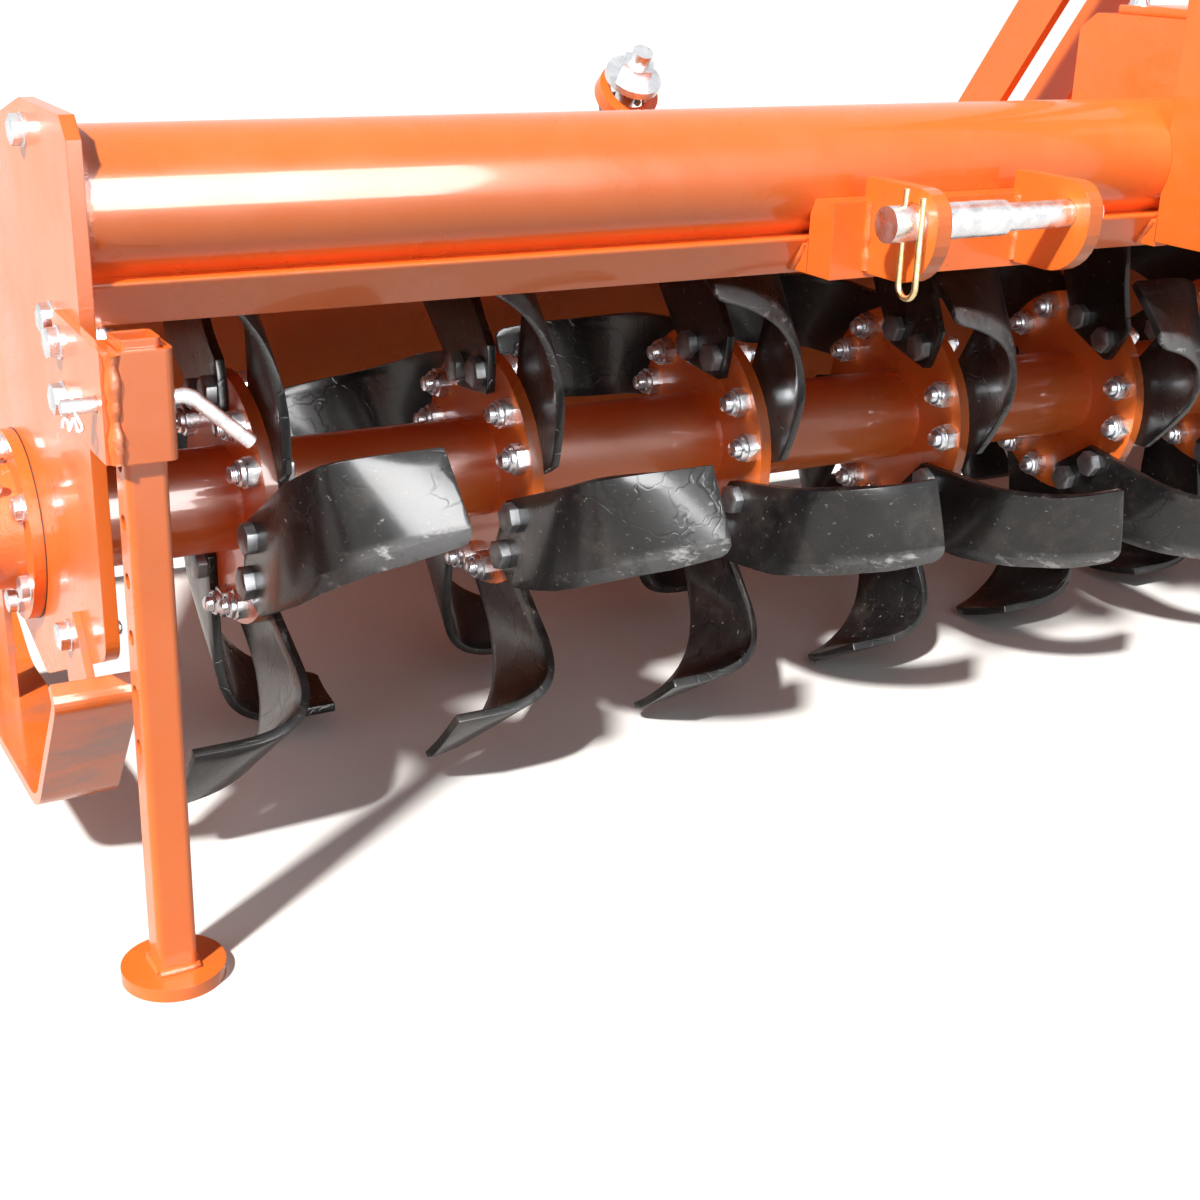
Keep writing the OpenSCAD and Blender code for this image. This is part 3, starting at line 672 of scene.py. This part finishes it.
class TILLER_OT_blades(bpy.types.Operator):
    """Bent blades with ground edges on both faces of the flanges"""
    bl_idname = "tiller.blades"
    bl_label = "Blades"

    def execute(self, context):
        pattern = blade_pattern()
        for face, name in ((-1, "blades_right"), (1, "blades_left")):
            bm = bmesh.new()
            bm.verts.layers.float.new("blade_number")
            for number, (index, turn) in enumerate(blade_turns(face)):
                fresh = stamp(bm, pattern, blade_place(index, turn, face))
                layer = bm.verts.layers.float["blade_number"]
                for vert in fresh:
                    vert[layer] = number * 1.37 + (0.5 if face > 0 else 0)
            bmesh.ops.recalc_face_normals(bm, faces=bm.faces)
            set_of_blades = piece(name + "_bent", bm, "rotor", "paint_black", "blade_black", smooth=30)
            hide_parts(name)
        bpy.data.meshes.remove(pattern)
        return {"FINISHED"}


class TILLER_OT_blade_bolts(bpy.types.Operator):
    """Hexagon bolts and lock nuts that hold the blades to the flanges"""
    bl_idname = "tiller.blade_bolts"
    bl_label = "Blade bolts"

    def execute(self, context):
        across = settings().bolt_across / MM
        head = bolt_head(across, washer=False)
        nut = lock_nut(across, 14.0)
        heads, nuts = [], []
        for face in (-1, 1):
            for number, (index, turn) in enumerate(blade_turns(face)):
                for hole, (out, side) in enumerate(BOLT_PLACES):
                    spin = Matrix.Rotation(math.radians((number * 47 + hole * 23) % 60), 4, "Z")
                    place = blade_place(index, turn, face) @ Matrix.Diagonal((-face, 1, 1, 1))
                    centre = place @ Vector((0, out * MM, side * MM))
                    heads.append((head, facing(centre, (face, 0, 0)) @ spin))
                    far = centre - Vector((face * (BLADE_T + FLANGE_T) * MM, 0, 0))
                    nuts.append((nut, facing(far, (-face, 0, 0)) @ spin))
        scattered("blade_bolt_heads", heads, "rotor", "zinc_steel", "dull_steel")
        scattered("blade_lock_nuts", nuts, "rotor", "zinc_steel", "bright_zinc", "nylon_ring")
        return {"FINISHED"}


class TILLER_OT_rotor_welds(bpy.types.Operator):
    """Rippled welds between the rotor's tube and its flanges"""
    bl_idname = "tiller.rotor_welds"
    bl_label = "Rotor welds"

    def execute(self, context):
        size = settings().weld_size / MM
        places = []
        for side, seed in ((-1, 0.0), (1, 3.7)):
            bead = ring_weld(TUBE_R, size, seed)
            for index in range(FLANGES):
                off = Matrix.Translation(at(flange_x(index) + side * FLANGE_T / 2, 0, 0))
                places.append((bead, off @ Matrix.Rotation(index * 1.9, 4, "X")))
        scattered("rotor_welds", places, "rotor", "paint_orange", "weld_orange", smooth=80)
        return {"FINISHED"}


# Frame: places in millimetres from the middle of the rotor's axis

SIDES = ((-1, "right"), (1, "left"))
PLATE = 1107.5
PLATE_IN = 1097.5
BEAM_Y, BEAM_Z, BEAM_TOP = -232.0, 203.4, 232.4
BEAM_SLOPE, BEAM_LIP, BEAM_BACK, BEAM_UNDER = 26.0, 199.4, -184.0, 218.0
MAST_X, MAST_HALF, MAST_TOP_X = 139.5, 7.5, 52.0
MAIN_Y, MAIN_Z, MAIN_R = -188.0, 277.5, 50.8
GEAR_HALF, GEAR_FRONT, GEAR_BACK, GEAR_TOP = 112.0, -262.0, -70.0, 395.5
HOOD_OUT = 282.4
PTO_Z = 295.5
HITCH_X = 412.5
EAR_IN, EAR_OUT, BRACKET_LIP = 69.5, 83.5, 34.0
HOUSING_FACE, HOUSING_BOLTS = 10.0, 64.0
CAP_FACE, CAP_BOLTS = 50.0, 44.0
CASE_FACE, CASE_TOP_BOLTS, CASE_LOW_BOLTS = 90.0, 43.0, 66.0
LID_Y, LID_T = -166.0, 8.0
TOP_Z = 865.4
LEG_X, LEG_Y, LEG_HALF = 1087.5, -294.0, 14.0
SLEEVE_Z, SLEEVE_TOP, STAND_PIN_Z = 134.4, 206.4, 170.4
FOOT_Z = -242.4
EYE_Y, EYE_Z, ROD_SIDE = 483.14, -124.84, 465.15
ROD_TILT, ROD_REACH = 125.783, 526.98
SPRING_R, SPRING_TURNS, TURN_STEPS = 18.5, 13, 14
# Bolts of the end plates: Y, Z and how far their seat stands proud of the plate
RIGHT_BOLTS = ((-163, 198, 0), (-206, 191, 6), (-210, 154, 6), (-120, 318, 0), (-164, -34, 6),
               (112, -44, 6))
LEFT_BOLTS = ((-237, 191, 6), (-237, 152, 6), (-164, -34, 6), (112, -44, 6))
# Turned profiles of small fittings: radius and height
NIPPLE = ((0, 0), (6, 0), (6, 5), (3.2, 6), (3.2, 11), (4.2, 12.5), (3.4, 16), (1.6, 18), (0, 18))
GASKET = ((70, 0), (76.4, 0), (76.4, 0.8), (70, 0.8), (70, 0))
WASHER = ((0, 0), (16, 0), (16, 3), (0, 3))
BREATHER = ((0, 0), (9, 0), (9, 7), (6, 8), (6, 13), (13, 14), (13, 26), (10, 30), (0, 31))
# Wire of a stand pin's clip, from the pin's outer end
CLIP_WIRE = ((0, 2, 7), (0, 0, 0), (0, -5, -4), (-2, -7, -9), (-3, -7, -13), (0, -7, -14), (1, -6, -9),
             (2, -6, -6), (4, -6, -12), (5, -6, -13), (6, -6, -7), (8, -6, -6), (9, -6, -11))


def beads(name, runs, body, size):
    """Hand welds along runs, each a list of places in metres."""
    bm = bmesh.new()
    for number, run in enumerate(runs):
        path = []
        for start, end in zip(run, run[1:]):
            path += line_of(start, end, 0.004)[:-1]
        path.append(run[-1])
        bead = sweep(path, size * MM, 7, 0.55, number * 3.1)
        stamp(bm, bead, Matrix.Identity(4))
        bpy.data.meshes.remove(bead)
    return piece(name, bm, body, "paint_orange", "weld_orange", smooth=70)


def bar(bm, profile, first, last):
    """A bar along X with a profile of (y, z) points, all in millimetres."""
    face = bm.faces.new([bm.verts.new(at(first, y, z)) for y, z in profile])
    grown = bmesh.ops.extrude_face_region(bm, geom=[face])["geom"]
    ends = [part for part in grown if isinstance(part, bmesh.types.BMVert)]
    bmesh.ops.translate(bm, verts=ends, vec=((last - first) * MM, 0, 0))


class TILLER_OT_beam(bpy.types.Operator):
    """Front beam with its face sloped back to the hood, and the fillets behind brackets and mast"""
    bl_idname = "tiller.beam"
    bl_label = "Front beam"

    def execute(self, context):
        low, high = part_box("front_beam")
        bm = bmesh.new()
        bar(bm, ((BEAM_Y, BEAM_TOP), (BEAM_Y + BEAM_SLOPE, BEAM_LIP), (BEAM_BACK, BEAM_UNDER),
                 (BEAM_BACK, BEAM_TOP)), (low.x - AXIS.x) / MM, (high.x - AXIS.x) / MM)
        corner = at(0, BEAM_Y, BEAM_TOP)
        front = [edge for edge in bm.edges
                 if all((vert.co - corner).yz.length < MM for vert in edge.verts)]
        soften(bm, front, 5 * MM, 4)
        wedge = ((BEAM_Y - 0.5, BEAM_TOP - 1), (BEAM_Y - 0.5, BEAM_Z),
                 (BEAM_Y + BEAM_SLOPE - 3, BEAM_Z))
        half = EAR_OUT + BRACKET_LIP
        for side in (-1, 1):
            bar(bm, wedge, side * HITCH_X - half, side * HITCH_X + half)
            bar(bm, wedge, side * MAST_X - MAST_HALF, side * MAST_X + MAST_HALF)
        bmesh.ops.recalc_face_normals(bm, faces=bm.faces)
        beam = piece("front_beam_sloped", bm, "frame", "paint_orange", "sprayed_orange")
        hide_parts("front_beam")
        return {"FINISHED"}


class TILLER_OT_plate_bolts(bpy.types.Operator):
    """Bolts and lock nuts of the end plates, stand brackets and skids"""
    bl_idname = "tiller.plate_bolts"
    bl_label = "Plate bolts"

    def execute(self, context):
        across = settings().plate_bolt / MM
        head = bolt_head(across)
        nut = lock_nut(across, 12.0)
        heads, nuts = [], []
        for side, rows in ((-1, RIGHT_BOLTS), (1, LEFT_BOLTS)):
            for number, (y, z, proud) in enumerate(rows):
                twist = (number * 37 + 11) % 60
                heads.append((head, facing(at(side * (PLATE + proud), y, z), (side, 0, 0), twist)))
                nuts.append((nut, facing(at(side * PLATE_IN, y, z), (-side, 0, 0), twist + 17)))
        scattered("plate_bolt_heads", heads, "frame", "zinc_steel", "bright_zinc")
        scattered("plate_lock_nuts", nuts, "frame", "zinc_steel", "bright_zinc", "nylon_ring")
        return {"FINISHED"}


class TILLER_OT_bearing(bpy.types.Operator):
    """Bolts, gasket and grease nipple of the rotor's outer bearing"""
    bl_idname = "tiller.bearing"
    bl_label = "Bearing"

    def execute(self, context):
        head = bolt_head(17.0)
        heads = []
        for k in range(6):
            angle = math.radians(k * 60 + 31)
            place = at(-(PLATE + HOUSING_FACE), HOUSING_BOLTS * math.cos(angle),
                       HOUSING_BOLTS * math.sin(angle))
            heads.append((head, facing(place, (-1, 0, 0), k * 19)))
        small = bolt_head(13.0)
        for k in range(4):
            angle = math.radians(k * 90 + 45)
            place = at(-(PLATE + CAP_FACE), CAP_BOLTS * math.cos(angle), CAP_BOLTS * math.sin(angle))
            heads.append((small, facing(place, (-1, 0, 0), k * 23)))
        heads.append((lathe(NIPPLE, 12), facing(at(-(PLATE + 26), -31, 38), (0, -31, 38))))
        scattered("bearing_bolts", heads, "frame", "zinc_steel", "bright_zinc")
        seal = facing(at(-PLATE, 0, 0), (-1, 0, 0))
        scattered("bearing_gasket", [(lathe(GASKET, 64), seal)], "frame", "guard_plastic", "guard_black")
        return {"FINISHED"}


class TILLER_OT_stand_fittings(bpy.types.Operator):
    """Spring clips of the stand pins and the welds of sleeves and feet"""
    bl_idname = "tiller.stand_fittings"
    bl_label = "Stand fittings"

    def execute(self, context):
        runs = []
        clips = bmesh.new()
        for side, hand in SIDES:
            inner = side * (PLATE - 1)
            for y in (LEG_Y - 17.5, LEG_Y + 20):
                runs.append([at(inner, y, SLEEVE_Z + 1), at(inner, y, SLEEVE_TOP - 1)])
            out = PLATE + 20
            path = [at(side * (out + x), LEG_Y + y, STAND_PIN_Z + z) for x, y, z in CLIP_WIRE]
            clip = sweep(rounded(path, 4), 1.2 * MM, 8)
            stamp(clips, clip, Matrix.Identity(4))
            ring = []
            for x, y in ((-1, -1), (1, -1), (1, 1), (-1, 1), (-1, -1)):
                ring.append(at(side * LEG_X + x * LEG_HALF, LEG_Y + y * LEG_HALF, FOOT_Z + 1))
            beads("foot_weld_" + hand, [ring], "leg_" + hand, 3.4)
        beads("sleeve_welds", runs, "frame", 5.0)
        piece("stand_clips", clips, "frame", "zinc_steel", "bright_zinc", smooth=60)
        return {"FINISHED"}


class TILLER_OT_frame_welds(bpy.types.Operator):
    """Hand welds of the hitch brackets, main tubes, beam and mast"""
    bl_idname = "tiller.frame_welds"
    bl_label = "Frame welds"

    def execute(self, context):
        runs = []
        low_y, low_z, high_y, high_z = BEAM_Y + BEAM_SLOPE - 5, BEAM_Z + 1, BEAM_Y + 4, BEAM_TOP - 5
        ear_y = BEAM_Y - 31
        for side in (-1, 1):
            middle = side * HITCH_X
            for x in (middle - EAR_OUT - BRACKET_LIP, middle + EAR_OUT + BRACKET_LIP, side * PLATE_IN,
                      side * (MAST_X - MAST_HALF), side * (MAST_X + MAST_HALF)):
                runs.append([at(x, low_y, low_z), at(x, high_y, high_z)])
            for x in (-EAR_OUT, -EAR_IN, EAR_IN, EAR_OUT):
                runs.append([at(middle + x, ear_y, BEAM_Z + 6), at(middle + x, ear_y, BEAM_Z + 59)])
        beads("frame_welds", runs, "frame", 4.0)
        places = []
        bead = ring_weld(MAIN_R, 4.6, 1.3)
        for x in (-PLATE_IN, -GEAR_HALF, GEAR_HALF, PLATE_IN):
            places.append((bead, Matrix.Translation(at(x, MAIN_Y, MAIN_Z))))
        scattered("tube_welds", places, "frame", "paint_orange", "weld_orange", smooth=80)
        return {"FINISHED"}


class TILLER_OT_gearbox_fittings(bpy.types.Operator):
    """Bolts, lid, plugs and breather of the gearbox and the side case"""
    bl_idname = "tiller.gearbox_fittings"
    bl_label = "Gearbox fittings"

    def execute(self, context):
        head = bolt_head(16.0)
        heads = []
        for x in (-69, 0, 69):
            for z in (HOOD_OUT + 17, GEAR_TOP - 29):
                heads.append((head, facing(at(x, GEAR_BACK + 14, z), (0, 1, 0), x)))
        for x in (-82, 0, 82):
            for y in (-220, -112):
                heads.append((head, facing(at(x, y, GEAR_TOP + LID_T), (0, 0, 1), x + y)))
        for x in (-96, 96):
            for z in (PTO_Z - 48, PTO_Z + 48):
                heads.append((head, facing(at(x, GEAR_FRONT, z), (0, -1, 0), x + z)))
        end = PLATE + CASE_FACE
        run = math.atan2(-MAIN_Z, -MAIN_Y)
        for y, z, radius, first, last in ((MAIN_Y, MAIN_Z, CASE_TOP_BOLTS, 70, 290),
                                          (0, 0, CASE_LOW_BOLTS, -80, 80)):
            for k in range(5):
                angle = run + math.radians(first + (last - first) * k / 4)
                place = at(end, y + radius * math.cos(angle), z + radius * math.sin(angle))
                heads.append((head, facing(place, (1, 0, 0), k * 17)))
        for share in (0.38, 0.66):
            for k in (-1, 1):
                off = (CASE_TOP_BOLTS + (CASE_LOW_BOLTS - CASE_TOP_BOLTS) * share) * k
                place = at(end, MAIN_Y * (1 - share) - off * math.sin(run),
                           MAIN_Z * (1 - share) + off * math.cos(run))
                heads.append((head, facing(place, (1, 0, 0), 9 * k)))
        plug = joined((hexagon(22, 9, 1.4), 3), (lathe(WASHER, 24), 0))
        heads.append((plug, facing(at(end, -50, 92), (1, 0, 0))))
        heads.append((plug, facing(at(70, GEAR_FRONT, GEAR_TOP - 34), (0, -1, 0), 12)))
        heads.append((lathe(BREATHER, 20), facing(at(40, LID_Y, GEAR_TOP + LID_T), (0, 0, 1))))
        scattered("gearbox_bolts", heads, "frame", "zinc_steel", "bright_zinc")
        bm = bmesh.new()
        bmesh.ops.create_cube(bm, size=1, matrix=Matrix.Translation(at(0, LID_Y, GEAR_TOP + LID_T / 2))
                              @ Matrix.Diagonal((0.19, 0.134, LID_T * MM, 1)))
        soften(bm, bm.edges[:], 1.2 * MM, 2)
        piece("gearbox_lid", bm, "frame", "paint_cast", "cast_orange")
        return {"FINISHED"}


class TILLER_OT_mast_bolts(bpy.types.Operator):
    """Bolts and lock nuts that hold the stays to the mast"""
    bl_idname = "tiller.mast_bolts"
    bl_label = "Mast bolts"

    def execute(self, context):
        head = bolt_head(24.0)
        nut = lock_nut(24.0, 16.0)
        heads, nuts = [], []
        for side in (-1, 1):
            for y, z in ((-262, TOP_Z - 50), (-242, TOP_Z - 78)):
                heads.append((head, facing(at(side * MAST_TOP_X, y, z), (side, 0, 0), y)))
                nuts.append((nut, facing(at(side * (MAST_TOP_X - 25), y, z), (-side, 0, 0), z)))
        scattered("mast_bolt_heads", heads, "frame", "zinc_steel", "bright_zinc")
        scattered("mast_lock_nuts", nuts, "frame", "zinc_steel", "bright_zinc", "nylon_ring")
        return {"FINISHED"}


class TILLER_OT_springs(bpy.types.Operator):
    """Pressure springs on the rods of the rear board"""
    bl_idname = "tiller.springs"
    bl_label = "Springs"

    def execute(self, context):
        tilt = math.radians(ROD_TILT)
        along = Vector((0, math.cos(tilt), math.sin(tilt)))
        up = Vector((0, -math.sin(tilt), math.cos(tilt)))
        across = Vector((1, 0, 0))
        first, last = ROD_REACH * 0.46 + 14, ROD_REACH - 12
        steps = SPRING_TURNS * TURN_STEPS
        wire = settings().spring_wire / 2
        for side, hand in SIDES:
            eye = at(side * ROD_SIDE, EYE_Y, EYE_Z)
            path = []
            for k in range(steps + 1):
                share = k / steps
                angle = TURN * SPRING_TURNS * share
                place = eye + along * (first + (last - first) * share) * MM
                path.append(place + (across * math.cos(angle) + up * math.sin(angle)) * SPRING_R * MM)
            coil = sweep(path, wire, 8)
            bm = bmesh.new()
            stamp(bm, coil, Matrix.Identity(4))
            spring = piece("pressure_spring_" + hand, bm, "rod_" + hand, "zinc_steel", "dull_steel",
                           smooth=60)
            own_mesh(spring)
        return {"FINISHED"}


# Stage

SUN_ENERGY, SUN_FROM = 5.2, Vector((-0.6, -0.42, 0.76))
# Area lamps: name, place, size and power, all aimed at one point
LAMPS = (("glare", (-0.7, -2.25, 1.25), 1.8, 235), ("left", (-4.2, -0.4, 1.7), 2.6, 20))
LAMP_AIM = Vector((-0.6, 0, 0.35))
# Camera: its place from the rotor's axis, then heading, pitch and roll in degrees
CAMERA_PLACE = (-1369.2, -1375.2, 463.3)
CAMERA_ANGLES = (29.971, 21.1737, -1.9586)


class TILLER_OT_stage(bpy.types.Operator):
    """Pale floor, soft light and the camera"""
    bl_idname = "tiller.stage"
    bl_label = "Stage"

    def execute(self, context):
        scene = context.scene
        scene.view_settings.view_transform = "Standard"
        self.floor(scene)
        self.world(scene)
        self.lamps(scene)
        self.camera(scene)
        return {"FINISHED"}

    def floor(self, scene):
        bm = bmesh.new()
        bmesh.ops.create_grid(bm, x_segments=8, y_segments=8, size=30)
        mesh = bpy.data.meshes.new("floor")
        bm.to_mesh(mesh)
        bm.free()
        look = Finish("floor_pale")
        tone = look.fade(look.noise(1.5, 2), 0.2, 0.8, 0.0, 1.0)
        pale = look.mix(tone, (0.86, 0.86, 0.855, 1), (0.88, 0.88, 0.875, 1))
        rays = look.add("ShaderNodeLightPath").outputs
        seen = look.math("MAXIMUM", rays["Is Camera Ray"], rays["Is Glossy Ray"])
        seen = look.math("MAXIMUM", seen, rays["Is Transmission Ray"])
        look.set(Base_Color=look.mix(seen, (0.2, 0.195, 0.19, 1), pale), Roughness=0.9)
        mesh.materials.append(look.material)
        floor = bpy.data.objects.new("floor", mesh)
        scene.collection.objects.link(floor)

    def world(self, scene):
        world = bpy.data.worlds.new("studio")
        scene.world = world
        world.use_nodes = True
        tree = world.node_tree
        tree.nodes.clear()
        mix = tree.nodes.new("ShaderNodeMixShader")
        for slot, colour, strength in ((1, (0.95, 0.97, 1, 1), 0.12), (2, (1, 1, 1, 1), 1.0)):
            sky = tree.nodes.new("ShaderNodeBackground")
            sky.inputs["Color"].default_value = colour
            sky.inputs["Strength"].default_value = strength
            tree.links.new(sky.outputs[0], mix.inputs[slot])
        rays = tree.nodes.new("ShaderNodeLightPath")
        seen = rays.outputs["Is Camera Ray"]
        for ray in ("Is Glossy Ray", "Is Transmission Ray"):
            either = tree.nodes.new("ShaderNodeMath")
            either.operation = "MAXIMUM"
            tree.links.new(seen, either.inputs[0])
            tree.links.new(rays.outputs[ray], either.inputs[1])
            seen = either.outputs[0]
        tree.links.new(seen, mix.inputs[0])
        output = tree.nodes.new("ShaderNodeOutputWorld")
        tree.links.new(mix.outputs[0], output.inputs["Surface"])

    def lamps(self, scene):
        key = bpy.data.lights.new("key", "SUN")
        key.energy = SUN_ENERGY
        key.angle = math.radians(4)
        key.color = (1, 0.965, 0.91)
        lamp = bpy.data.objects.new("key", key)
        lamp.rotation_euler = SUN_FROM.to_track_quat("Z", "Y").to_euler()
        scene.collection.objects.link(lamp)
        for name, place, size, power in LAMPS:
            soft = bpy.data.lights.new(name, "AREA")
            soft.energy = power
            soft.size = size
            lamp = bpy.data.objects.new(name, soft)
            lamp.location = place
            # The glare shows in gloss alone
            lamp.visible_diffuse = name != "glare"
            lamp.rotation_euler = (lamp.location - LAMP_AIM).to_track_quat("Z", "Y").to_euler()
            scene.collection.objects.link(lamp)

    def camera(self, scene):
        heading, pitch, roll = (math.radians(angle) for angle in CAMERA_ANGLES)
        forward = Vector((math.sin(heading) * math.cos(pitch), math.cos(heading) * math.cos(pitch),
                          -math.sin(pitch)))
        right = Vector((math.cos(heading), -math.sin(heading), 0))
        down = forward.cross(right)
        level = right * math.cos(roll) + down * math.sin(roll)
        drop = down * math.cos(roll) - right * math.sin(roll)
        lens = bpy.data.cameras.new("camera")
        lens.sensor_width = 36
        lens.lens = settings().lens
        lens.clip_start = 0.05
        camera = bpy.data.objects.new("camera", lens)
        turn = Matrix((level, -drop, -forward)).transposed().to_4x4()
        camera.matrix_world = Matrix.Translation(at(*CAMERA_PLACE)) @ turn
        scene.collection.objects.link(camera)
        scene.camera = camera


class TILLER_PT_panel(bpy.types.Panel):
    bl_idname = "TILLER_PT_panel"
    bl_label = "Rotary tiller"
    bl_space_type = "VIEW_3D"
    bl_region_type = "UI"
    bl_category = "Rotary tiller"

    def draw(self, context):
        for key in TillerSettings.__annotations__:
            self.layout.prop(context.scene.tiller, key)
        for operator in STEPS:
            self.layout.operator(operator.bl_idname)


STEPS = (TILLER_OT_finishes, TILLER_OT_blades, TILLER_OT_blade_bolts,
         TILLER_OT_rotor_welds, TILLER_OT_beam, TILLER_OT_plate_bolts, TILLER_OT_bearing,
         TILLER_OT_stand_fittings, TILLER_OT_frame_welds, TILLER_OT_gearbox_fittings,
         TILLER_OT_mast_bolts, TILLER_OT_springs, TILLER_OT_stage)
CLASSES = (TillerSettings,) + STEPS + (TILLER_PT_panel,)


def register():
    for each in CLASSES:
        bpy.utils.register_class(each)
    bpy.types.Scene.tiller = PointerProperty(type=TillerSettings)


def unregister():
    del bpy.types.Scene.tiller
    for each in reversed(CLASSES):
        bpy.utils.unregister_class(each)


def main():
    register()
    for step in STEPS:
        group, name = step.bl_idname.split(".")
        getattr(getattr(bpy.ops, group), name)()


if __name__ == "__main__":
    main()
